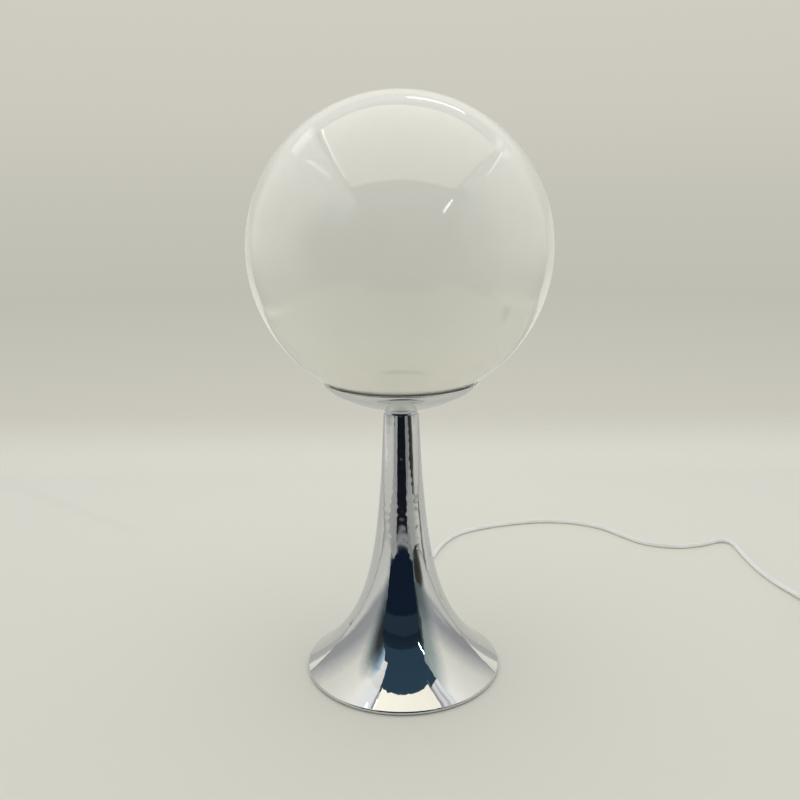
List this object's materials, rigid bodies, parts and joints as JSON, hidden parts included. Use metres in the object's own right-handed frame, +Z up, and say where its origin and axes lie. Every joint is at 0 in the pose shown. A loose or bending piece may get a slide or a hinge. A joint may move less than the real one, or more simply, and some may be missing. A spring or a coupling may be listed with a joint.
{
  "type": "glass globe table lamp",
  "caption": "Table lamp with an opal glass globe in a shallow chrome dish on a flared chrome trumpet stem, with a mains lead, inline rocker switch and plug.",
  "frame": {"origin": "centre of the underside of the felt pad, on the table under the lamp's axis", "axes": "+Z up along the lamp's axis; -Y is the front and the lead leaves the foot towards +Y"},
  "size_m": [0.6367, 0.4684, 0.4974],
  "materials": {
    "chrome": "polished chrome plate on spun steel",
    "opal_glass": "glossy opal white blown glass",
    "seat_rubber": "soft translucent white rubber",
    "spring_steel": "bright spring steel",
    "zinc_steel": "zinc-plated steel",
    "cast_iron": "rough cast, painted dark grey",
    "felt": "pressed black felt",
    "holder_plastic": "moulded white thermoset",
    "ceramic": "steatite, standing in for ceramic",
    "brass": "bare brass",
    "bulb_glass": "frosted white glass",
    "cap_metal": "rolled aluminium",
    "white_pvc": "soft white PVC sheath, slightly glossy",
    "white_plastic": "moulded white plastic",
    "lead_insulation": "brown and blue wire insulation",
    "tie_plastic": "white hook-and-loop strap"
  },
  "bodies": {
    "root": {"trumpet_stem": "chrome", "felt_pad": "felt", "ballast": "cast_iron", "lower_washer": "zinc_steel", "lower_nut": "zinc_steel", "threaded_tube": "zinc_steel", "dish": "chrome", "globe_gasket": "seat_rubber", "spring_spider": "spring_steel", "upper_washer": "zinc_steel", "upper_nut": "zinc_steel", "lampholder_cap": "holder_plastic", "lampholder_insert": "ceramic", "terminal_screws": "brass", "screw_shell": "brass", "lampholder_barrel": "holder_plastic", "centre_contact": "brass", "cord_bush": "white_plastic", "bush_nut": "white_plastic", "strain_relief": "white_pvc", "inner_cord": "white_pvc", "cord_clamp": "white_plastic", "clamp_screws": "zinc_steel", "inner_leads": "lead_insulation", "cord_run": "white_pvc", "switch_base": "white_plastic", "switch_cover": "white_plastic", "switch_contacts": "brass", "switch_screws": "zinc_steel", "cord_lead": "white_pvc", "cord_coil": "white_pvc", "coil_tie": "tie_plastic", "plug_lead": "white_pvc", "plug_body": "white_pvc", "plug_pins": "brass", "plug_pin_sleeves": "white_plastic"},
    "globe": {"globe": "opal_glass"},
    "bulb": {"bulb_glass": "bulb_glass", "bulb_cap": "cap_metal", "bulb_contact": "brass"},
    "rocker": {"switch_rocker": "white_plastic"}
  },
  "joints": [
    {"name": "globe_lift", "type": "slide", "parent": "root", "child": "globe", "axis": [0, 0, 1], "range_m": [0, 0.14]},
    {"name": "bulb_out", "type": "slide", "parent": "root", "child": "bulb", "axis": [0, 0, 1], "range_m": [0, 0.03]},
    {"name": "rocker_tilt", "type": "hinge", "parent": "root", "child": "rocker", "pos_m": [0.4225, 0.056, 0.014], "axis": [-1, 0, 0], "range_deg": [0, 22]}
  ]
}
